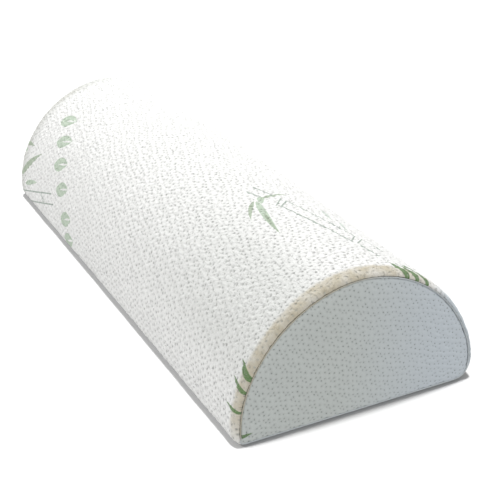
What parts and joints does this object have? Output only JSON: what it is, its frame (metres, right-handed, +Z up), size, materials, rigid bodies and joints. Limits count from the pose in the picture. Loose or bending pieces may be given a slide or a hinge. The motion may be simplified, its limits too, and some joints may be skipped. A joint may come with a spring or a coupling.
{
  "type": "bolster pillow",
  "caption": "Half-round foam bolster with a flat base, in a quilted cover with D-shaped end panels and a back zip.",
  "frame": {"origin": "centre of the flat base, on the surface that the pillow lies on", "axes": "+X runs along the pillow, +Y points to its back, where the zip is, +Z points up to the crown of the arch"},
  "size_m": [0.521, 0.2041, 0.114],
  "materials": {
    "cover_quilt": "matte",
    "cover_end_quilt": "matte",
    "end_seam": "matte",
    "zip_tape": "matte",
    "zip_teeth": "satin",
    "thread": "matte",
    "slider_metal": "satin",
    "label": "satin",
    "liner": "matte",
    "foam": "matte"
  },
  "bodies": {
    "pillow": {"cover_body_panel": "cover_quilt", "cover_end_panel_right": "cover_end_quilt", "cover_end_panel_left": "cover_end_quilt", "end_seam_right": "end_seam", "end_seam_left": "end_seam", "zip_tape_upper": "zip_tape", "zip_tape_lower": "zip_tape", "zip_teeth_upper": "zip_teeth", "zip_teeth_lower": "zip_teeth", "zip_top_stop_upper": "zip_teeth", "zip_top_stop_lower": "zip_teeth", "zip_bottom_stop": "zip_teeth", "zip_stitching_upper": "thread", "zip_stitching_lower": "thread", "care_label": "label", "liner_body": "liner", "liner_end_right": "liner", "liner_end_left": "liner", "foam_core": "foam"},
    "slider": {"zip_slider": "slider_metal"},
    "pull": {"zip_pull": "slider_metal"}
  },
  "joints": [
    {"name": "zip_slide", "type": "slide", "parent": "pillow", "child": "slider", "axis": [-1, 0, 0], "range_m": [0, 0.433], "deforming": ["zip_teeth_upper", "zip_teeth_lower"]},
    {"name": "pull_hinge", "type": "hinge", "parent": "slider", "child": "pull", "pos_m": [0.2169, 0.10093, 0.03214], "axis": [0, 0.1689, -0.9856], "range_deg": [0, 170]}
  ]
}
